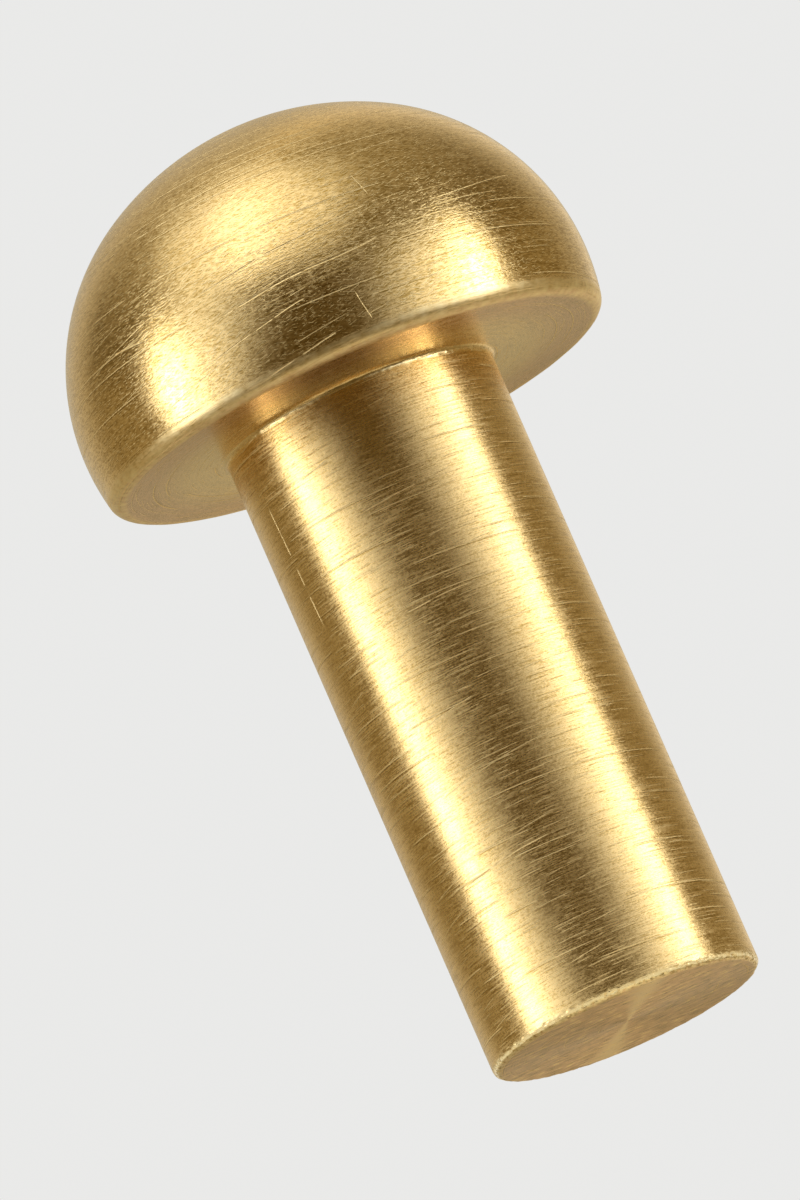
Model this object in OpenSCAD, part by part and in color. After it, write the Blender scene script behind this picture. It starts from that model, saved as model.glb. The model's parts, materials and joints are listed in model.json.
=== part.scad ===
// Solid rivet with a high round head, in brass.
//
// One turned-looking piece: a straight cylindrical shank, cut square at its tip,
// and a head upset from the same wire. The rivet goes through both sheets from
// above, its flat seat pulls on the upper one, and the tip is hammered over a
// burr or a second head below.
//
// The origin is the centre of the seat, the flat ring under the head. +Z runs up
// the axis through the crown of the head, and the shank hangs down along -Z.
// Lengths are in millimetres.

/* [Shank] */
// Diameter of the shank, which is the rivet's nominal size
shank_d = 6; // [3:0.1:9]
// Length of the shank from the seat to the flat tip
shank_len = 14.2; // [6:0.1:60]
// Radius of the broken edge round the tip
tip_edge_r = 0.16; // [0.05:0.01:0.6]
// Radius of the fillet where the shank meets the seat
neck_r = 0.1; // [0.05:0.01:0.4]

/* [Head] */
// Largest diameter of the head
head_d = 11.4; // [9.8:0.1:18]
// Height of the crown above the seat
head_h = 6.45; // [4:0.05:9]
// Height above the seat at which the head is widest
belly_z = 1.25; // [0.6:0.05:1.6]
// Radius of the side of the dome, below the flatter crown
side_r = 5; // [2.5:0.1:6]
// Radius of the rounded rim between the side and the seat
rim_r = 0.3; // [0.1:0.05:0.5]

/* [Hidden] */
$fn = 180;

shank_r = shank_d / 2;
head_r = head_d / 2;
crown_h = head_h - belly_z;             // height of the dome above its widest ring

// The side of the dome is an arc whose centre lies level with the widest ring.
// It has to leave room for the crown, so it stays a little smaller than the
// dome's half width and its height.
side = min(side_r, 0.97 * min(head_r, crown_h));
side_c = [head_r - side, belly_z];

// The crown is a larger arc centred on the axis. It runs through the top of the
// head and touches the side's arc, which fixes how far its centre drops below
// the widest ring.
rise = crown_h - side;
crown_drop = (side_c.x * side_c.x - rise * rise) / (2 * rise);
crown_c = [0, belly_z - crown_drop];
crown_r = crown_h + crown_drop;
crown_end = crown_c + crown_r * unit(side_c - crown_c);

// The rim is a small arc that stands on the seat and touches the side's arc.
rim_c = [side_c.x + sqrt(pow(side - rim_r, 2) - pow(belly_z - rim_r, 2)), rim_r];
rim_end = side_c + side * unit(rim_c - side_c);

function unit(v) = v / norm(v);

module rivet() {
    color([0.80, 0.62, 0.30])
        rotate_extrude()
            union() {
                head_section();
                shank_section();
            }
}

// Half section of the head: a slice of a disc for each arc of its outline, cut
// where the next arc takes over, on a plain block that reaches the seat.
module head_section() {
    // crown
    intersection() {
        translate(crown_c) circle(r = crown_r);
        translate([0, belly_z]) square([crown_end.x, head_h]);
    }
    // side
    intersection() {
        translate(side_c) circle(r = side);
        translate([0, rim_end.y]) square([head_d, head_h]);
    }
    // rim
    translate(rim_c) circle(r = rim_r);
    square([rim_c.x, belly_z]);
}

// Half section of the shank, with the fillet at its neck and the broken edge
// round its tip. It runs up into the head, so that both are one solid.
module shank_section() {
    edge = min(tip_edge_r, 0.4 * shank_r);
    neck = min(neck_r, 0.5 * (rim_c.x - shank_r));

    translate([0, -shank_len]) square([shank_r - edge, shank_len]);
    translate([shank_r - edge, -shank_len + edge]) circle(r = edge);
    translate([0, -shank_len + edge]) square([shank_r, shank_len - edge + belly_z]);

    difference() {
        translate([0, -neck]) square([shank_r + neck, neck + belly_z / 2]);
        translate([shank_r + neck, -neck]) circle(r = neck);
    }
}

rivet();
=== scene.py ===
"""A brushed brass round-head rivet, standing on its flat tip on a pale studio floor.

The rivet is turned from one outline by Geometry Nodes. Its brass is a metal with fine
lines brushed round the axis, a worked grain on the head, and the stray scratches, nicks
and ragged neck of a real one. Lengths are in metres, +Z runs up through the crown, and
the origin is the centre of the seat under the head.
"""
import json
import math
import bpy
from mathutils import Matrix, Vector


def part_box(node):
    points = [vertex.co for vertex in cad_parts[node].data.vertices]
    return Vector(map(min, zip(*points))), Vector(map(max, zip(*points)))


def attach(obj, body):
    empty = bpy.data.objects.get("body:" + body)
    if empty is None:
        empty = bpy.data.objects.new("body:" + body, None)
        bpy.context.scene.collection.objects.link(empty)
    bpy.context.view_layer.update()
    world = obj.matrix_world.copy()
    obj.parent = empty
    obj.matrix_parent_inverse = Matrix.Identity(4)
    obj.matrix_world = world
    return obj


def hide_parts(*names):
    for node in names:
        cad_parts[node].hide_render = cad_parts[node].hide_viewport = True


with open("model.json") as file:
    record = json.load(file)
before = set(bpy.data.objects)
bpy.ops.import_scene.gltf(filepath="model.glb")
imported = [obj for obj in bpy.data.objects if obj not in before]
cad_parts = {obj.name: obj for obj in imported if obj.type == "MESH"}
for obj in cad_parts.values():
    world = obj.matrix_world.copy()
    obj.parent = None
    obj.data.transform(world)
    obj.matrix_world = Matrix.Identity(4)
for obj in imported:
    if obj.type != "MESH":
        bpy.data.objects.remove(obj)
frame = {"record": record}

from types import SimpleNamespace

import bpy
from bpy.props import FloatProperty, FloatVectorProperty, IntProperty, PointerProperty
from mathutils import Matrix, Vector

bl_info = {
    "name": "Solid rivet",
    "version": (1, 0, 0),
    "blender": (4, 5, 0),
    "location": "3D View > Sidebar > Rivet",
    "description": "Makes a brushed brass solid rivet and the studio that it stands in",
    "category": "Object",
}

LOW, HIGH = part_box("rivet")
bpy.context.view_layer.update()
MOUNTS = {mount["name"]: mount for mount in frame["record"]["mounts"]}
SHANK_RADIUS = MOUNTS["shank"]["dims"]["r_mm"] / 1000

MM = 0.001


# ---------------------------------------------------------------- settings

class RivetSizes(bpy.types.PropertyGroup):
    """The outline of the rivet, and how far its surface strays from it."""

    head_diameter: FloatProperty(
        name="Head diameter", description="Largest diameter of the head",
        default=HIGH[0] - LOW[0], min=0.002, unit="LENGTH", precision=5)
    head_height: FloatProperty(
        name="Head height", description="Height of the crown above the seat",
        default=HIGH[2], min=0.001, unit="LENGTH", precision=5)
    belly_height: FloatProperty(
        name="Belly height", description="Height above the seat of the widest ring",
        default=1.25 * MM, min=0.0001, unit="LENGTH", precision=5)
    side_radius: FloatProperty(
        name="Side radius", description="Radius of the dome's side",
        default=5 * MM, min=0.0005, unit="LENGTH", precision=5)
    rim_radius: FloatProperty(
        name="Rim radius", description="Radius of the rounded rim at the seat",
        default=0.3 * MM, min=0.00001, unit="LENGTH", precision=5)
    shank_diameter: FloatProperty(
        name="Shank diameter", description="Diameter of the shank",
        default=2 * SHANK_RADIUS, min=0.001, unit="LENGTH", precision=5)
    shank_length: FloatProperty(
        name="Shank length", description="Length from the seat to the tip",
        default=-LOW[2], min=0.001, unit="LENGTH", precision=5)
    neck_radius: FloatProperty(
        name="Neck radius", description="Fillet where the shank meets the seat",
        default=0.1 * MM, min=0.00001, unit="LENGTH", precision=5)
    tip_edge: FloatProperty(
        name="Tip edge", description="Radius of the broken edge round the tip",
        default=0.16 * MM, min=0.00001, unit="LENGTH", precision=5)
    nick_depth: FloatProperty(
        name="Nick depth", description="Depth of the nicks in the tip's edge",
        default=0.03 * MM, min=0, unit="LENGTH", precision=6)
    neck_burr: FloatProperty(
        name="Neck burr", description="Unevenness of the metal at the neck",
        default=0.02 * MM, min=0, unit="LENGTH", precision=6)
    rim_wave: FloatProperty(
        name="Rim wave", description="Unevenness of the rim of the head",
        default=0.015 * MM, min=0, unit="LENGTH", precision=6)
    segments: IntProperty(
        name="Segments", description="Steps round the axis", default=512, min=64, max=720)
    seed: IntProperty(
        name="Seed", description="Picks another set of nicks and waves", default=3)


class BrassFinish(bpy.types.PropertyGroup):
    """Colours and surface of the brass."""

    brass: FloatVectorProperty(
        name="Brass", description="Colour of the clean metal",
        subtype="COLOR", size=3, min=0, max=1, default=(0.90, 0.632, 0.258))
    tarnish: FloatVectorProperty(
        name="Tarnish", description="Colour of the duller metal between the lines",
        subtype="COLOR", size=3, min=0, max=1, default=(0.45, 0.27, 0.058))
    # Also the colour of the painted highlight across the tip.
    fresh_and_highlight: FloatVectorProperty(
        name="Fresh metal", description="Colour of the metal laid open by a scratch",
        subtype="COLOR", size=3, min=0, max=1, default=(0.98, 0.78, 0.39))
    flat: FloatVectorProperty(
        name="Flat faces", description="Colour of the duller metal under the head and at the tip",
        subtype="COLOR", size=3, min=0, max=1, default=(0.77, 0.50, 0.25))
    roughness: FloatProperty(
        name="Roughness", description="Roughness of the metal between its marks",
        default=0.22, min=0.02, max=1, subtype="FACTOR")
    brush_depth: FloatProperty(
        name="Brush depth", description="Depth of the fine lines round the axis",
        default=0.005 * MM, min=0, unit="LENGTH", precision=7)
    brush_spacing: FloatProperty(
        name="Brush spacing", description="Distance from one fine line to the next",
        default=0.05 * MM, min=0.00001, unit="LENGTH", precision=7)
    grain_depth: FloatProperty(
        name="Grain depth", description="Depth of the worked grain on the head",
        default=0.004 * MM, min=0, unit="LENGTH", precision=7)


class StudioSettings(bpy.types.PropertyGroup):
    """The floor, the lamps and the camera."""

    floor_colour: FloatVectorProperty(
        name="Floor", description="Colour of the floor",
        subtype="COLOR", size=3, min=0, max=1, default=(0.92, 0.91, 0.88))
    backdrop_colour: FloatVectorProperty(
        name="Backdrop", description="Colour that the camera sees behind the rivet",
        subtype="COLOR", size=3, min=0, max=1, default=(0.82, 0.82, 0.81))
    lamp_strength: FloatProperty(
        name="Lamp strength", description="Brightness of the soft boxes",
        default=4.25, min=0)
    lamp_colour: FloatVectorProperty(
        name="Lamp colour", description="Colour of the soft boxes",
        subtype="COLOR", size=3, min=0, max=1, default=(0.80, 0.86, 1.0))
    tilt: FloatProperty(
        name="Tilt", description="How far the camera looks up at the rivet",
        default=math.radians(12.3), subtype="ANGLE")
    roll: FloatProperty(
        name="Roll", description="How far the rivet leans to the left in the picture",
        default=math.radians(23.7), subtype="ANGLE")
    distance: FloatProperty(
        name="Distance", description="Distance from the camera to the rivet",
        default=0.6, min=0.05, unit="LENGTH")
    picture_height: FloatProperty(
        name="Picture height", description="Height of the picture at the rivet",
        default=25 * MM, min=0.001, unit="LENGTH", precision=5)


# ---------------------------------------------------------------- node building

FLOAT, INT = "NodeSocketFloat", "NodeSocketInt"
VECTOR, SHAPE = "NodeSocketVector", "NodeSocketGeometry"


class Wire:
    """One output in a node tree, which takes part in sums as a number does."""

    def __init__(self, socket):
        self.socket = socket

    def __add__(self, other):
        return calc("ADD", self, other)

    def __radd__(self, other):
        return calc("ADD", other, self)

    def __sub__(self, other):
        return calc("SUBTRACT", self, other)

    def __rsub__(self, other):
        return calc("SUBTRACT", other, self)

    def __mul__(self, other):
        return calc("MULTIPLY", self, other)

    def __rmul__(self, other):
        return calc("MULTIPLY", other, self)

    def __truediv__(self, other):
        return calc("DIVIDE", self, other)

    def __rtruediv__(self, other):
        return calc("DIVIDE", other, self)


def plug(tree, socket, value):
    """Joins a wire to an input, or writes a plain value on it."""
    if isinstance(value, Wire):
        tree.links.new(value.socket, socket)
    else:
        socket.default_value = value


def add(tree, kind, inputs=None, **settings):
    """Adds a node with its settings and inputs, and returns it."""
    node = tree.nodes.new(kind)
    for name, value in settings.items():
        setattr(node, name, value)
    for name, value in (inputs or {}).items():
        plug(tree, node.inputs[name], value)
    return node


def out(node, name=0):
    """The wire that leaves a node by the named output."""
    return Wire(node.outputs[name])


def calc(operation, *terms, clamp=False):
    """A Math node on wires and numbers."""
    tree = next(term.socket.id_data for term in terms if isinstance(term, Wire))
    inputs = dict(enumerate(terms))
    return out(add(tree, "ShaderNodeMath", inputs, operation=operation, use_clamp=clamp))


def ramp(value, low, high, start=0.0, end=1.0):
    """A smooth step from start to end as value goes from low to high."""
    node = add(value.socket.id_data, "ShaderNodeMapRange", interpolation_type="SMOOTHSTEP")
    for name, term in (("Value", value), ("From Min", low), ("From Max", high),
                       ("To Min", start), ("To Max", end)):
        plug(node.id_data, node.inputs[name], term)
    return out(node)


def near(value, centre, width):
    """1 where value is at centre, falling smoothly to 0 at width from it."""
    return ramp(calc("ABSOLUTE", value - centre), 0.0, width, 1.0, 0.0)


def split(vector):
    """The three parts of a vector wire."""
    node = add(vector.socket.id_data, "ShaderNodeSeparateXYZ", {0: vector})
    return [out(node, i) for i in range(3)]


def join(x, y, z):
    """A vector from three parts."""
    tree = next(part.socket.id_data for part in (x, y, z) if isinstance(part, Wire))
    return out(add(tree, "ShaderNodeCombineXYZ", {0: x, 1: y, 2: z}))


def noise(vector, scale, detail=2.0, roughness=0.5):
    """Value of a 3D noise at vector, around 0.5."""
    return out(add(vector.socket.id_data, "ShaderNodeTexNoise", {
        "Vector": vector, "Scale": scale, "Detail": detail, "Roughness": roughness},
        noise_dimensions="3D"))


def hypot(x, y):
    """Length of the vector (x, y)."""
    return calc("SQRT", x * x + y * y)


def new_group(name, kind, inputs, outputs):
    """A node group with named sockets, its input wires by name, and its output node."""
    group = bpy.data.node_groups.new(name, kind)
    for title, socket_type, default in inputs:
        socket = group.interface.new_socket(title, in_out="INPUT", socket_type=socket_type)
        if default is not None:
            socket.default_value = default
    for title, socket_type in outputs:
        group.interface.new_socket(title, in_out="OUTPUT", socket_type=socket_type)
    entry = add(group, "NodeGroupInput")
    wires = {title: out(entry, title) for title, _, _ in inputs}
    return group, wires, add(group, "NodeGroupOutput")


def use(tree, group, inputs):
    """Places a shader or geometry group in a tree, with its inputs by name."""
    kind = "ShaderNodeGroup" if tree.type == "SHADER" else "GeometryNodeGroup"
    node = tree.nodes.new(kind)
    node.node_tree = group
    for name, value in inputs.items():
        plug(tree, node.inputs[name], value)
    return node


# ---------------------------------------------------------------- turned body


# How far apart two points of a seam may lie, and how far a seed moves the noises.
SEAM = 0.0002 * MM
SEED_STEP = 0.1


def turned_strip(name, sizes, place):
    """A group that turns one stretch of the outline round the axis.

    place takes the input wires and the share t of the way along the stretch, and gives
    the distance from the axis, the height, and the length of the whole stretch. The
    group stores how far each point lies from the crown along the outline, as "path".
    """
    group, given, result = new_group(
        name, "GeometryNodeTree",
        [(size, FLOAT, 0.0) for size in sizes]
        + [("Rings", INT, 8), ("Segments", INT, 64), ("Path before", FLOAT, 0.0)],
        [("Mesh", SHAPE), ("Path after", FLOAT)])
    grid = add(group, "GeometryNodeMeshGrid", {
        "Size X": 1.0, "Size Y": 1.0, "Vertices X": given["Rings"],
        "Vertices Y": given["Segments"] + 1})
    x, y, _ = split(out(add(group, "GeometryNodeInputPosition")))
    share, turn = x + 0.5, (y + 0.5) * math.tau
    radius, height, length = place(given, share)
    path = given["Path before"] + length * share
    marked = add(group, "GeometryNodeStoreNamedAttribute", {
        "Geometry": out(grid, "Mesh"), "Name": "path", "Value": path},
        data_type="FLOAT", domain="POINT")
    placed = add(group, "GeometryNodeSetPosition", {
        "Geometry": out(marked, "Geometry"),
        "Position": join(radius * calc("COSINE", turn), radius * calc("SINE", turn), height)})
    plug(group, result.inputs["Mesh"], out(placed))
    plug(group, result.inputs["Path after"], given["Path before"] + length)
    return group


def arc_place(given, share):
    """A point on an arc about a centre in the half plane of the outline."""
    angle = given["From"] + (given["To"] - given["From"]) * share
    length = given["Radius"] * calc("ABSOLUTE", given["To"] - given["From"])
    return (given["Centre radius"] + given["Radius"] * calc("COSINE", angle),
            given["Centre height"] + given["Radius"] * calc("SINE", angle), length)


def line_place(given, share):
    """A point on a straight line in the half plane of the outline."""
    out_step = given["To radius"] - given["From radius"]
    up_step = given["To height"] - given["From height"]
    return (given["From radius"] + out_step * share,
            given["From height"] + up_step * share, hypot(out_step, up_step))


def rivet_tree(material):
    """The geometry tree of the whole rivet, from crown to tip."""
    arc = turned_strip(
        "Turned arc", ("Centre radius", "Centre height", "Radius", "From", "To"), arc_place)
    line = turned_strip(
        "Turned line", ("From radius", "From height", "To radius", "To height"), line_place)

    sizes = ("Head diameter", "Head height", "Belly height", "Side radius", "Rim radius",
             "Shank diameter", "Shank length", "Neck radius", "Tip edge",
             "Nick depth", "Neck burr", "Rim wave")
    tree, given, result = new_group(
        "Rivet body", "GeometryNodeTree",
        [("Geometry", SHAPE, None)]
        + [(size, FLOAT, 0.001) for size in sizes]
        + [("Segments", INT, 512), ("Seed", INT, 0)],
        [("Geometry", SHAPE)])

    head_radius = given["Head diameter"] / 2
    shank_radius = given["Shank diameter"] / 2
    belly, rim, neck, edge = (
        given["Belly height"], given["Rim radius"], given["Neck radius"], given["Tip edge"])
    tip = 0 - given["Shank length"]

    # The side's centre lies level with the belly, the crown's on the axis, and each arc
    # touches the next.
    crown_height = given["Head height"] - belly
    side = calc("MINIMUM", given["Side radius"],
                0.97 * calc("MINIMUM", head_radius, crown_height))
    side_out = head_radius - side
    rise = crown_height - side
    drop = (side_out * side_out - rise * rise) / (2 * rise)
    crown_turn = calc("ARCTAN2", drop, side_out)
    rim_reach = calc("SQRT", (side - rim) * (side - rim) - (belly - rim) * (belly - rim))
    rim_turn = calc("ARCTAN2", rim - belly, rim_reach)
    rim_out = side_out + rim_reach

    # The stretches of the outline: the group that turns each, its rings, and its places.
    quarter = math.pi / 2
    stretches = [
        (arc, 26, (0.0, belly - drop, crown_height + drop, quarter, crown_turn)),
        (arc, 38, (side_out, belly, side, crown_turn, rim_turn)),
        (arc, 14, (rim_out, rim, rim, rim_turn, -quarter)),
        (line, 10, (rim_out, 0.0, shank_radius + 2 * neck, 0.0)),
        (line, 6, (shank_radius + 2 * neck, 0.0, shank_radius + neck, 0.0)),
        (arc, 10, (shank_radius + neck, 0 - neck, neck, quarter, math.pi)),
        (line, 8, (shank_radius, 0 - neck, shank_radius, -3 * neck)),
        (line, 14, (shank_radius, -3 * neck, shank_radius, tip + 2.5 * edge)),
        (line, 12, (shank_radius, tip + 2.5 * edge, shank_radius, tip + edge)),
        (arc, 16, (shank_radius - edge, tip + edge, edge, 0.0, -quarter)),
        (line, 8, (shank_radius - edge, tip, shank_radius - 2 * edge, tip)),
        (line, 8, (shank_radius - 2 * edge, tip, 0.0, tip)),
    ]
    path = 0.0
    strips = add(tree, "GeometryNodeJoinGeometry")
    for group, rings, places in stretches:
        names = [socket.name for socket in group.interface.items_tree
                 if socket.in_out == "INPUT"][:len(places)]
        strip = use(tree, group, dict(zip(names, places)) | {
            "Rings": rings, "Segments": given["Segments"], "Path before": path})
        tree.links.new(strip.outputs["Mesh"], strips.inputs[0])
        path = out(strip, "Path after")
    body = add(tree, "GeometryNodeMergeByDistance", {
        "Geometry": out(strips), "Distance": SEAM})

    # The surface strays from the outline along its own normal: nicks in the tip's edge,
    # a ragged neck and a slightly uneven rim.
    position = out(add(tree, "GeometryNodeInputPosition"))
    x, y, z = split(position)
    radius = hypot(x, y)
    moved = out(add(tree, "ShaderNodeVectorMath", {
        0: position, 1: join(given["Seed"] * SEED_STEP, 0.0, 0.0)}, operation="ADD"))
    nicks = ramp(noise(moved, 14000.0, 2.0, 0.6), 0.54, 0.68) * ramp(
        hypot(radius - shank_radius + 0.3 * edge, z - tip - 0.3 * edge),
        0.3 * edge, 1.0 * edge, 1.0, 0.0)
    beads = (noise(moved, 5000.0, 1.0) - 0.5) * near(
        hypot(radius - shank_radius, z - tip), 0.5 * edge, 0.7 * edge)
    burr = (noise(moved, 9000.0, 2.0, 0.6) - 0.5) * ramp(
        hypot(radius - shank_radius, z), neck, 2.0 * neck, 1.0, 0.0)
    wave = (noise(moved, 1100.0, 3.0, 0.6) - 0.5) * ramp(
        hypot(radius - rim_out, z - rim), rim, 3 * rim, 1.0, 0.0)
    stray = ((beads - nicks) * given["Nick depth"] + burr * given["Neck burr"]
             + wave * given["Rim wave"])
    normal = out(add(tree, "GeometryNodeInputNormal"))
    offset = add(tree, "ShaderNodeVectorMath", {0: normal}, operation="SCALE")
    plug(tree, offset.inputs["Scale"], stray)
    worked = add(tree, "GeometryNodeSetPosition", {
        "Geometry": out(body), "Offset": out(offset)})
    smooth = add(tree, "GeometryNodeSetShadeSmooth", {"Geometry": out(worked)})
    real = add(tree, "GeometryNodeRealizeInstances", {"Geometry": out(smooth)})
    dressed = add(tree, "GeometryNodeSetMaterial", {"Geometry": out(real)})
    dressed.inputs["Material"].default_value = material
    plug(tree, result.inputs["Geometry"], out(dressed))
    return tree


# ---------------------------------------------------------------- brass

# Keeps a point on the axis from a division by nothing.
OFF_AXIS = 0.00001 * MM

# How far apart the noises of two neighbouring scratches are, so that each breaks anew.
CELL_STEP = 7.31

# Brushed lines: how often a line breaks in a turn, its spacing as a share of the brush
# spacing, how much it slopes along X, and a seed.
FINE_LINES = (6.0, 0.52, 0.02, 0.0)
BROAD_LINES = (3.0, 1.5, -0.02, 11.0)
SPECKS = (46.0, 0.62, 0.0, 47.0)
GRAIN_UP = (26.0, 0.8, 0.4, 71.0)
GRAIN_DOWN = (28.0, 0.85, -0.45, 79.0)

# Ruled scratches: how often one breaks in a turn, its spacing and width in millimetres,
# the share of it that is kept, how much it slopes along X, how much of that it slopes
# along Y, and a seed.
SHORT_SCRATCHES = (4.0, 0.09, 0.011, 0.42, 0.02, 0.0, 5.0)
LONG_SCRATCHES = (1.2, 0.34, 0.017, 0.42, -0.02, 0.6, 23.0)
CROSSED_SCRATCHES = (2.5, 0.5, 0.012, 0.3, 0.12, -0.8, 61.0)
UP_STROKES = (44.0, 0.065, 0.012, 0.42, 0.3, 0.4, 83.0)
DOWN_STROKES = (48.0, 0.07, 0.012, 0.42, -0.35, 0.7, 97.0)

# Scales of the noises, in grains to the metre.
PATCHES, PATINA, SWELLS = 420.0, 260.0, 5200.0
RAGGED_NECK, WORN_TIP = 7000.0, 13000.0
WAVER, BREAKS = 500.0, 2600.0

# Depth of the ruled scratches and of the stray ones.
RULED_DEPTH = 0.003 * MM
STRAY_DEPTH = 0.006 * MM


def round_vector(position, path, around, spacing, seed):
    """Coordinates in which a noise draws lines round the axis.

    around is how often a line breaks in a turn, and spacing the distance between lines.
    """
    x, y, _ = split(position)
    radius = hypot(x, y) + OFF_AXIS
    return join(x / radius * around + seed, y / radius * around, path / spacing)


def brush_group():
    """Fine lines brushed round the axis: a height about zero, between -0.5 and 0.5."""
    group, given, result = new_group(
        "Brushed lines", "ShaderNodeTree",
        [("Position", VECTOR, None), ("Path", FLOAT, 0.0),
         ("Around", FLOAT, 4.0), ("Spacing", FLOAT, 0.05 * MM), ("Seed", FLOAT, 0.0)],
        [("Height", FLOAT)])
    lines = noise(round_vector(given["Position"], given["Path"], given["Around"],
                               given["Spacing"], given["Seed"]), 1.0, 3.0, 0.6)
    plug(group, result.inputs["Height"], lines - 0.5)
    return group


def scratch_group():
    """Ruled scratches round the axis: 1 in one, and 1 in a line just beside it, which the brass
    darkens as a painted shadow.

    The outline is cut into cells, Spacing wide, with one ruled line at a random place in
    each. Share of the line is kept, in stretches that Around makes shorter.
    """
    group, given, result = new_group(
        "Round scratches", "ShaderNodeTree",
        [("Position", VECTOR, None), ("Path", FLOAT, 0.0),
         ("Around", FLOAT, 1.5), ("Spacing", FLOAT, 0.15 * MM),
         ("Width", FLOAT, 0.01 * MM), ("Share", FLOAT, 0.5), ("Seed", FLOAT, 0.0)],
        [("Mask", FLOAT), ("Lip", FLOAT)])
    x, y, _ = split(given["Position"])
    radius = hypot(x, y) + OFF_AXIS
    along = given["Path"] / given["Spacing"]
    cell = calc("FLOOR", along)
    place = out(add(group, "ShaderNodeTexWhiteNoise", {"W": cell + given["Seed"]},
                    noise_dimensions="1D"), "Value")
    # Each line lies in the middle of its cell, give or take a fifth of the cell.
    off = (along - cell - 0.3 - 0.4 * place) * given["Spacing"]
    stretches = noise(join(x / radius * given["Around"], y / radius * given["Around"],
                           cell * CELL_STEP + given["Seed"]), 1.0, 1.0, 0.5)
    kept = ramp(stretches, 0.66 - 0.3 * given["Share"], 0.72 - 0.3 * given["Share"])
    plug(group, result.inputs["Mask"], near(off, 0.0, given["Width"]) * kept)
    # The line just beside each scratch, darkened later as a painted shadow.
    plug(group, result.inputs["Lip"], near(off, 1.6 * given["Width"], given["Width"]) * kept)
    return group


def stray_group():
    """One stray scratch, where a plane cuts the surface: 1 in it, 0 beside it.

    The plane goes through Centre across Normal. The scratch fades out where it is
    farther than Reach from Centre.
    """
    group, given, result = new_group(
        "Stray scratch", "ShaderNodeTree",
        [("Position", VECTOR, None), ("Centre", VECTOR, None),
         ("Normal", VECTOR, None), ("Reach", FLOAT, 2 * MM),
         ("Width", FLOAT, 0.02 * MM)],
        [("Mask", FLOAT)])
    away = out(add(group, "ShaderNodeVectorMath", {
        0: given["Position"], 1: given["Centre"]}, operation="SUBTRACT"))
    off_plane = out(add(group, "ShaderNodeVectorMath", {
        0: away, 1: given["Normal"]}, operation="DOT_PRODUCT"), "Value")
    reach = out(add(group, "ShaderNodeVectorMath", {0: away}, operation="LENGTH"), "Value")
    plug(group, result.inputs["Mask"],
         near(off_plane, 0.0, given["Width"])
         * ramp(reach, 0.7 * given["Reach"], given["Reach"], 1.0, 0.0))
    return group


# Stray scratches: direction of the middle round the axis in degrees (0 faces -Y, and
# positive turns towards +X), its height above the seat, the slope of the scratch against
# a level line in degrees, and half its length and its width in millimetres.
STRAY_SCRATCHES = (
    (-2, 2.6, -5, 2.6, 0.018),
    (0, 1.9, -4, 2.1, 0.020),
    (-12, 1.2, -9, 1.3, 0.016),
    (0, 0.4, -9, 1.7, 0.020),
    (-45, 2.3, 8, 0.8, 0.022),
    (21, 3.3, 86, 0.35, 0.014),
    (10, 0.8, 84, 0.4, 0.011),
    (50, 2.6, -6, 1.5, 0.016),
    (-24, 4.4, 3, 1.4, 0.014),
    (118, 2.6, 10, 2.2, 0.018),
    (165, 3.3, -6, 2.4, 0.016),
    (-150, 2.0, 14, 1.8, 0.018),
    (-57, -2.9, 87, 1.6, 0.018),
    (0, -2.6, -4, 0.8, 0.018),
    (-1, -5.0, -1, 0.9, 0.018),
    (15, -9.1, 1, 0.9, 0.018),
    (-20, -10.6, -4, 1.2, 0.018),
    (84, -8.0, -10, 1.4, 0.018),
    (-160, -7.5, 8, 1.6, 0.018),
)

# Scratches in the tip's face: place of the middle in millimetres, direction in degrees
# from +X, and half the length and the width in millimetres.
TIP_SCRATCHES = (
    (-1.4, 0.5, -12, 1.3, 0.018),
    (0.6, -1.6, 24, 0.9, 0.016),
)


def outline_radius(sizes, height):
    """Distance from the axis to the surface at a height, near enough to start a scratch."""
    if height < 0:
        return sizes.shank_diameter / 2
    up = min(height - sizes.belly_height, sizes.side_radius)
    return (sizes.head_diameter / 2 - sizes.side_radius
            + math.sqrt(sizes.side_radius ** 2 - up ** 2))


def stray_masks(tree, sizes, position):
    """All the stray scratches in one mask, and those in the tip's face in another.

    They waver and break a little on their way.
    """
    group = stray_group()
    x, y, z = split(position)
    waver = (noise(position, WAVER, 1.0) - 0.5) * 0.2 * MM
    wavering = join(x + waver, y + waver, z + waver)
    broken = ramp(noise(position, BREAKS, 1.0), 0.36, 0.46, 0.15, 1.0)

    def joined(scratches):
        total = None
        for centre, normal, half, width in scratches:
            mask = out(use(tree, group, {
                "Position": wavering, "Centre": centre, "Normal": normal,
                "Reach": half * MM, "Width": width * MM}), "Mask")
            total = mask if total is None else calc("MAXIMUM", total, mask)
        return total * broken

    sides, tips = [], []
    for turn, height, slope, half, width in STRAY_SCRATCHES:
        turn, slope, height = math.radians(turn), math.radians(slope), height * MM
        outward = Vector((math.sin(turn), -math.cos(turn), 0))
        centre = outward * outline_radius(sizes, height) + Vector((0, 0, height))
        normal = Matrix.Rotation(-slope, 3, outward) @ Vector((0, 0, 1))
        sides.append((centre, normal, half, width))
    for x, y, turn, half, width in TIP_SCRATCHES:
        turn = math.radians(turn)
        tips.append((Vector((x * MM, y * MM, -sizes.shank_length)),
                     Vector((-math.sin(turn), math.cos(turn), 0)), half, width))
    return joined(sides), joined(tips)


def mix_colour(tree, factor, first, second):
    """Colour between first and second by factor."""
    node = add(tree, "ShaderNodeMix", data_type="RGBA")
    plug(tree, node.inputs[0], factor)
    plug(tree, node.inputs[6], first)
    plug(tree, node.inputs[7], second)
    return out(node, 2)


def strongest(*masks):
    """The highest of several masks."""
    total = masks[0]
    for mask in masks[1:]:
        total = calc("MAXIMUM", total, mask)
    return total


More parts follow.
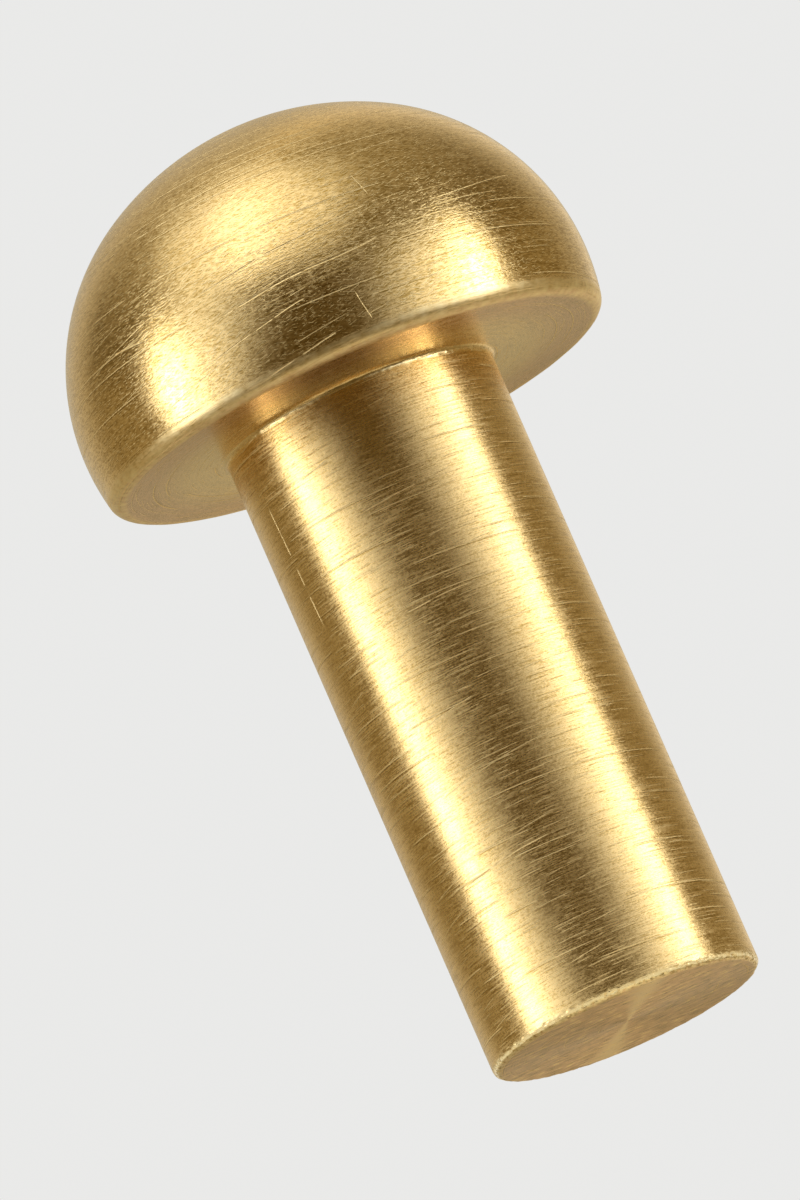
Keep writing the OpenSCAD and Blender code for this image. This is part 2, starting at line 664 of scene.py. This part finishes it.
def regions(radius, z, sizes):
    """Masks of the regions that are finished differently: 1 on each, 0 off it."""
    tip, rim = -sizes.shank_length, sizes.head_diameter / 2
    on = SimpleNamespace()
    on.head = ramp(z, 0.1 * MM, 0.5 * MM)
    on.tip = ramp(z, tip + 0.02 * MM, tip + 0.06 * MM, 1.0, 0.0)
    on.seat = ramp(z, -0.05 * MM, 0.0) * ramp(z, 0.02 * MM, 0.1 * MM, 1.0, 0.0)
    on.shank = ramp(z, -0.3 * MM, -0.1 * MM, 1.0, 0.0) * (1 - on.tip)
    on.rim = ramp(z, 0.2 * MM, 0.36 * MM, 1.0, 0.0) * ramp(
        radius, rim - 0.5 * MM, rim - 0.35 * MM)
    return on


def line_marks(tree, position, finish, on):
    """The brushed lines, the worked grain and the ruled scratches of each region."""
    path = out(add(tree, "ShaderNodeAttribute", attribute_name="path"), "Fac")
    x, y, _ = split(position)
    brush, scratches = brush_group(), scratch_group()

    def lines(around, spacing, slope, seed):
        return out(use(tree, brush, {
            "Position": position, "Path": path + slope * x, "Around": around,
            "Spacing": finish.brush_spacing * spacing, "Seed": seed}), "Height")

    def ruled(around, spacing, width, share, slope, aside, seed):
        node = use(tree, scratches, {
            "Position": position, "Path": path + slope * (x + aside * y),
            "Around": around, "Spacing": spacing * MM, "Width": width * MM,
            "Share": share, "Seed": seed})
        return out(node, "Mask"), out(node, "Lip")

    marks = SimpleNamespace()
    amount = 0.6 + 0.4 * on.shank - 0.3 * on.tip
    patches = ramp(noise(position, PATCHES, 2.0), 0.35, 0.65, 0.75, 1.2) * amount
    marks.fine = lines(*FINE_LINES) * patches
    marks.broad = lines(*BROAD_LINES) * patches
    marks.speck = lines(*SPECKS) * (1 - 0.7 * on.tip)
    short, short_shadow = ruled(*SHORT_SCRATCHES)
    long, long_shadow = ruled(*LONG_SCRATCHES)
    crossed, _ = ruled(*CROSSED_SCRATCHES)
    up, up_shadow = ruled(*UP_STROKES)
    down, down_shadow = ruled(*DOWN_STROKES)

    # The dome is worked both ways, and the tip is faced straight across.
    worked = calc("MAXIMUM", lines(*GRAIN_UP), lines(*GRAIN_DOWN)) - 0.08
    faced = noise(join(x / (0.4 * MM), y / (0.14 * MM), 0.0), 1.0, 4.0, 0.7) - 0.5
    marks.grain = worked * on.head + 1.7 * faced * on.tip
    marks.sparks = ramp(marks.grain, 0.10, 0.22)
    marks.strokes = strongest(up, down) * on.head
    marks.bright = strongest((0.6 - 0.3 * on.head) * short, long, 0.8 * crossed)
    # The lines beside the scratches sink a little, and their colour is darkened as a painted
    # shadow.
    marks.dark = strongest(0.6 * short_shadow, long_shadow, 0.6 * up_shadow * on.head,
                           0.6 * down_shadow * on.head)
    return marks


def wear_and_highlight_marks(position, sizes, on):
    """Wear at the tip, the neck and the seat, and a painted highlight across the tip, each 1
    where the metal is bright.
    """
    x, y, z = split(position)
    radius, shank, tip = hypot(x, y), sizes.shank_diameter / 2, -sizes.shank_length
    wear_and_highlight = SimpleNamespace()
    bead = near(hypot(radius - shank + 0.06 * MM, z - tip - 0.06 * MM), 0.0, 0.17 * MM)
    wear_and_highlight.bead = bead * ramp(noise(position, WORN_TIP, 2.0), 0.36, 0.5, 0.1, 1.0)
    wear_and_highlight.neck = near(z + (noise(position, RAGGED_NECK, 2.0) - 0.5) * 0.12 * MM,
                     -0.10 * MM, 0.05 * MM)
    # A painted highlight: the tip is brighter along one line through its middle, standing in for
    # the streak of light that its turned face reflects.
    wear_and_highlight.facing = near((0.97 * x + 0.26 * y) / (radius + 0.1 * MM), 0.0, 0.25) * on.tip
    # The seat is cleaner close to the shank.
    wear_and_highlight.seat = ramp(radius, shank + 0.5 * MM, shank + 1.9 * MM, 1.0, 0.0) * on.seat
    return wear_and_highlight


def brass_material(sizes, finish):
    """Brushed brass, with the marks that each region of the rivet carries, a painted highlight
    across the tip and painted shadow beside the scratches.
    """
    material = bpy.data.materials.new("Brushed brass")
    material.use_nodes = True
    tree = material.node_tree
    tree.nodes.clear()

    position = out(add(tree, "ShaderNodeTexCoord"), "Object")
    x, y, z = split(position)
    on = regions(hypot(x, y), z, sizes)
    marks = line_marks(tree, position, finish, on)
    wear_and_highlight = wear_and_highlight_marks(position, sizes, on)
    strays, tip_strays = stray_masks(tree, sizes, position)
    tip_strays = tip_strays * on.tip
    swells = noise(position, SWELLS, 2.0) - 0.5
    patina = ramp(noise(position, PATINA, 3.0, 0.6), 0.35, 0.75, 0.15, 0.35)

    lines = marks.fine + 0.8 * marks.broad + 0.5 * marks.speck + 0.4 * marks.grain
    height = (lines * finish.brush_depth
              + swells * (0.3 + 0.4 * on.head) * finish.grain_depth
              - (marks.bright + 0.5 * marks.dark) * RULED_DEPTH
              - (strays + tip_strays) * STRAY_DEPTH)
    bump = add(tree, "ShaderNodeBump", {
        "Strength": 1.0, "Distance": 1.0, "Height": height})

    # Tarnish where the metal is dull; the lines beside the scratches are darkened here as a
    # painted shadow.
    dull_and_painted_light = (patina - 2.2 * marks.fine - 0.5 * marks.broad - 2.4 * marks.speck
            - 3.2 * marks.grain + 0.7 * marks.dark + tip_strays - 0.4 * wear_and_highlight.facing)
    # Scratches, grain and wear lay bare fresh metal; the strip across the tip is a painted
    # highlight, which also takes tarnish off above.
    fresh_and_highlight = strongest(strays, marks.bright, 0.7 * marks.strokes, 0.9 * marks.sparks,
                      wear_and_highlight.neck, wear_and_highlight.bead, 0.5 * wear_and_highlight.facing, 0.25 * wear_and_highlight.seat,
                      (0.5 + 1.6 * swells) * on.rim)
    metal = mix_colour(tree, strongest(on.seat - wear_and_highlight.seat, on.tip),
                       (*finish.brass, 1), (*finish.flat, 1))
    base = mix_colour(tree, calc("ADD", dull_and_painted_light, 0.0, clamp=True),
                      metal, (*finish.tarnish, 1))
    base = mix_colour(tree, fresh_and_highlight, base, (*finish.fresh_and_highlight, 1))
    roughness = (finish.roughness + 0.04 * on.shank + 0.4 * marks.fine
                 + 0.2 * marks.broad + 0.3 * marks.speck + 0.3 * marks.grain
                 + 0.5 * marks.bright + 0.28 * marks.strokes + 0.22 * marks.sparks
                 + 0.5 * strays + 0.10 * swells + 0.13 * on.tip + 0.05 * on.seat
                 + 0.18 * on.rim - 0.04 * on.head)

    tangent = add(tree, "ShaderNodeTangent", direction_type="RADIAL", axis="Z")
    brass = add(tree, "ShaderNodeBsdfPrincipled", {
        "Base Color": base, "Metallic": 1.0, "Roughness": roughness,
        "Anisotropic": 0.6, "Anisotropic Rotation": 0.25,
        "Normal": out(bump), "Tangent": out(tangent)})
    surface = add(tree, "ShaderNodeOutputMaterial")
    tree.links.new(brass.outputs["BSDF"], surface.inputs["Surface"])
    return material


class RIVET_OT_body(bpy.types.Operator):
    """Turns the rivet from its outline and gives it its brushed brass"""
    bl_idname = "rivet.body"
    bl_label = "Make rivet"

    def execute(self, context):
        sizes, finish = context.scene.rivet_sizes, context.scene.rivet_finish
        material = brass_material(sizes, finish)
        tree = rivet_tree(material)
        rivet = bpy.data.objects.new("brass_rivet", bpy.data.meshes.new("brass_rivet"))
        context.scene.collection.objects.link(rivet)
        modifier = rivet.modifiers.new("Rivet body", "NODES")
        modifier.node_group = tree
        for socket in tree.interface.items_tree:
            if socket.in_out == "INPUT" and socket.socket_type != SHAPE:
                name = socket.name.lower().replace(" ", "_")
                modifier[socket.identifier] = getattr(sizes, name)
        graph = context.evaluated_depsgraph_get()
        mesh = bpy.data.meshes.new_from_object(rivet.evaluated_get(graph))
        if not mesh.polygons:
            raise RuntimeError("the rivet's geometry tree gave no faces")
        rivet.modifiers.remove(modifier)
        rivet.data = mesh
        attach(rivet, "root")
        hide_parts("rivet")
        return {"FINISHED"}


# ---------------------------------------------------------------- studio

def aim(direction, up):
    """Rotation of a lamp or camera that looks along direction, with up in its view."""
    back = -direction.normalized()
    right = up.cross(back).normalized()
    return Matrix((right, back.cross(right), back)).transposed().to_4x4()


# The middle of the picture, the width of the film in millimetres, and how near and how
# far the camera sees.
PICTURE_MIDDLE = (-0.82 * MM, 0, -4.07 * MM)
FILM_WIDTH = 24
SIGHT = (0.01, 10)


def set_camera(context, studio):
    """A long lens that looks up at the leaning rivet."""
    look = Vector((0, math.cos(studio.tilt), math.sin(studio.tilt)))
    level = Vector((1, 0, 0))
    lean = level.cross(look)
    up = lean * math.cos(studio.roll) + level * math.sin(studio.roll)
    data = bpy.data.cameras.new("Long lens")
    data.sensor_fit = "AUTO"
    data.sensor_width = FILM_WIDTH
    data.lens = data.sensor_width * studio.distance / studio.picture_height
    data.clip_start, data.clip_end = SIGHT
    camera = bpy.data.objects.new("Long lens", data)
    place = Vector(PICTURE_MIDDLE) - look * studio.distance
    camera.matrix_world = Matrix.Translation(place) @ aim(look, up)
    context.scene.collection.objects.link(camera)
    context.scene.camera = camera


# Soft boxes: name, direction in degrees round the axis (0 faces -Y, positive turns
# towards +X), elevation in degrees, width and height in metres, share of the strength,
# how far its light fades in from each side, as shares of its width, and how far its
# inner side leans from the bottom to the top.
SOFT_BOXES = (
    ("Left box", -53, 7, 0.38, 0.32, 0.78, 0.37, 0.8, 0.42),
    ("Right box", 50, 3, 0.40, 0.29, 0.82, 0.85, 0.28, 0.0),
    ("Top box", -19, 68, 0.42, 0.32, 0.28, 0.28, 0.3, 0.0),
)
BOX_DISTANCE = 0.22

# How the boxes glow: how sharply a side fades, up to what height the light comes in from
# the bottom and from what height it goes out, and how much brighter the middle is.
SIDE_FADE = 1.5
FULL_FROM, FULL_TO = 0.2, 0.52
MIDDLE_GAIN, MIDDLE_WIDTH = 0.9, 0.2


def soft_box(context, studio, name, turn, elevation, width, height, share, left, right,
             lean):
    """An area lamp that faces the rivet, brightest in its middle."""
    turn, elevation = math.radians(turn), math.radians(elevation)
    outward = Vector((math.sin(turn) * math.cos(elevation),
                      -math.cos(turn) * math.cos(elevation), math.sin(elevation)))
    data = bpy.data.lights.new(name, "AREA")
    data.shape, data.size, data.size_y = "RECTANGLE", width, height
    data.energy = studio.lamp_strength * share * math.pi * width * height
    data.color = studio.lamp_colour
    data.use_nodes = True
    tree = data.node_tree
    tree.nodes.clear()
    across, up, _ = split(out(add(tree, "ShaderNodeNewGeometry"), "Parametric"))
    slant = (up - 0.5) * lean
    start, end = (across, across - slant) if turn < 0 else (across + slant, across)
    glow = ramp(start, 0.0, left) * ramp(end, 1 - right, 1.0, 1.0, 0.0)
    glow = calc("POWER", glow, SIDE_FADE)
    glow = glow * ramp(up, 0.0, FULL_FROM) * ramp(up, FULL_TO, 1.0, 1.0, 0.0)
    middle = (left + 1 - right) / 2
    glow = glow * (1 + MIDDLE_GAIN * near(across, middle, MIDDLE_WIDTH))
    light = add(tree, "ShaderNodeEmission", {"Strength": glow})
    output = add(tree, "ShaderNodeOutputLight")
    tree.links.new(light.outputs[0], output.inputs[0])
    lamp = bpy.data.objects.new(name, data)
    lamp.matrix_world = Matrix.Translation(outward * BOX_DISTANCE) @ aim(
        -outward, Vector((0, 0, 1)))
    lamp.visible_camera = False
    context.scene.collection.objects.link(lamp)


# Light of the room as the metal sees it: in front and at the sides, the wall behind the
# rivet low and high, the bright strip down the wall, and the lit table under the rivet.
ROOM_FRONT, ROOM_SIDE = (0.11, 0.08, 0.035, 1), (0.31, 0.25, 0.147, 1)
WALL_LOW, WALL_HIGH = (0.40, 0.36, 0.25, 1), (0.57, 0.52, 0.41, 1)
BRIGHT_STRIP, LIT_TABLE = (0.92, 0.82, 0.62, 1), (1.0, 0.91, 0.72, 1)


def studio_world(studio):
    """Pale to the camera, and to the metal a dim room with a pale wall behind the rivet."""
    world = bpy.data.worlds.new("Studio")
    world.use_nodes = True
    tree = world.node_tree
    tree.nodes.clear()
    x, y, z = split(out(add(tree, "ShaderNodeTexCoord"), "Generated"))
    behind = ramp(y / hypot(x, y), 0.5, 0.9)
    overhead = ramp(z, 0.35, 0.9, 0.0, 0.55)
    share = calc("MAXIMUM", behind, overhead)
    aside = ramp(y / hypot(x, y), -0.7, 0.2) * ramp(z, 0.25, 0.5, 1.0, 0.25)
    dark = mix_colour(tree, aside, ROOM_FRONT, ROOM_SIDE)
    wall = mix_colour(tree, ramp(z, -0.25, 0.2), WALL_LOW, WALL_HIGH)
    room = mix_colour(tree, share, dark, wall)
    strip = near(x / hypot(x, y), 0.30, 0.22) * behind
    room = mix_colour(tree, strip, room, BRIGHT_STRIP)
    table = near(x / hypot(x, y), 0.12, 0.16) * behind * ramp(z, -0.6, -0.2, 1.0, 0.0)
    under = calc("MAXIMUM", table, ramp(z, -0.985, -0.86, 1.0, 0.0))
    room = mix_colour(tree, under, room, LIT_TABLE)
    seen = out(add(tree, "ShaderNodeLightPath"), "Is Camera Ray")
    colour = mix_colour(tree, seen, room, (*studio.backdrop_colour, 1))
    light = add(tree, "ShaderNodeBackground", {"Color": colour, "Strength": 1.0})
    output = add(tree, "ShaderNodeOutputWorld")
    tree.links.new(light.outputs[0], output.inputs[0])
    return world


def floor_material(studio, foot_radius):
    """Pale matt floor that fades into the backdrop, and that isn't there from below.

    The metal sees only the ring of it round the foot, foot_radius from the axis.
    """
    material = bpy.data.materials.new("Pale floor")
    material.use_nodes = True
    tree = material.node_tree
    tree.nodes.clear()
    x, y, _ = split(out(add(tree, "ShaderNodeTexCoord"), "Object"))
    radius = hypot(x, y)
    below = out(add(tree, "ShaderNodeNewGeometry"), "Backfacing")
    rays = add(tree, "ShaderNodeLightPath")
    mirrored = out(rays, "Is Glossy Ray")
    foot = ramp(radius, foot_radius - 0.02 * MM, foot_radius) * ramp(
        radius, foot_radius + 1 * MM, foot_radius + 4 * MM, 1.0, 0.0)
    gone = calc("MAXIMUM", below, 1 - out(rays, "Is Camera Ray") - mirrored * foot)
    matt = add(tree, "ShaderNodeBsdfDiffuse", {"Color": (*studio.floor_colour, 1)})
    glow = add(tree, "ShaderNodeEmission", {"Color": (*studio.backdrop_colour, 1)})
    clear = add(tree, "ShaderNodeBsdfTransparent")
    fade = add(tree, "ShaderNodeMixShader", {
        0: calc("MAXIMUM", ramp(radius, 0.06, 0.2), mirrored)})
    tree.links.new(matt.outputs[0], fade.inputs[1])
    tree.links.new(glow.outputs[0], fade.inputs[2])
    pick = add(tree, "ShaderNodeMixShader", {0: gone})
    tree.links.new(fade.outputs[0], pick.inputs[1])
    tree.links.new(clear.outputs[0], pick.inputs[2])
    output = add(tree, "ShaderNodeOutputMaterial")
    tree.links.new(pick.outputs[0], output.inputs[0])
    return material


# Half the width of the floor, and the gap between it and the rivet's foot.
FLOOR_REACH = 3.0
FLOOR_GAP = 0.005 * MM


def lay_floor(context, studio, sizes):
    """The pale floor under the rivet's foot."""
    reach, height = FLOOR_REACH, -sizes.shank_length - FLOOR_GAP
    mesh = bpy.data.meshes.new("floor")
    corners = [(-reach, -reach, height), (reach, -reach, height),
               (reach, reach, height), (-reach, reach, height)]
    mesh.from_pydata(corners, [], [(0, 1, 2, 3)])
    mesh.materials.append(floor_material(studio, sizes.shank_diameter / 2))
    floor = bpy.data.objects.new("floor", mesh)
    context.scene.collection.objects.link(floor)


class RIVET_OT_studio(bpy.types.Operator):
    """Sets the camera, lays the pale floor, and sets the soft boxes and the backdrop"""
    bl_idname = "rivet.studio"
    bl_label = "Set studio"

    def execute(self, context):
        studio, sizes = context.scene.rivet_studio, context.scene.rivet_sizes
        set_camera(context, studio)
        lay_floor(context, studio, sizes)
        for box in SOFT_BOXES:
            soft_box(context, studio, *box)
        context.scene.world = studio_world(studio)
        context.scene.view_settings.view_transform = "Standard"
        return {"FINISHED"}


# ---------------------------------------------------------------- add-on

class RIVET_PT_panel(bpy.types.Panel):
    """Lists the rivet's pieces and their settings"""
    bl_label = "Solid rivet"
    bl_idname = "RIVET_PT_panel"
    bl_space_type = "VIEW_3D"
    bl_region_type = "UI"
    bl_category = "Rivet"

    def draw(self, context):
        scene = context.scene
        for operator, groups in (
                ("rivet.body", (scene.rivet_sizes, scene.rivet_finish)),
                ("rivet.studio", (scene.rivet_studio,))):
            box = self.layout.box()
            box.operator(operator)
            for settings in groups:
                for name in settings.__annotations__:
                    box.prop(settings, name)


CLASSES = (RivetSizes, BrassFinish, StudioSettings,
           RIVET_OT_body, RIVET_OT_studio, RIVET_PT_panel)


def register():
    """Registers the classes and gives the scene their settings."""
    for cls in CLASSES:
        bpy.utils.register_class(cls)
    bpy.types.Scene.rivet_sizes = PointerProperty(type=RivetSizes)
    bpy.types.Scene.rivet_finish = PointerProperty(type=BrassFinish)
    bpy.types.Scene.rivet_studio = PointerProperty(type=StudioSettings)


def unregister():
    """Takes the settings and the classes away again."""
    for name in ("rivet_studio", "rivet_finish", "rivet_sizes"):
        delattr(bpy.types.Scene, name)
    for cls in reversed(CLASSES):
        bpy.utils.unregister_class(cls)


def main():
    register()
    bpy.ops.rivet.body()
    bpy.ops.rivet.studio()


if __name__ == "__main__":
    main()
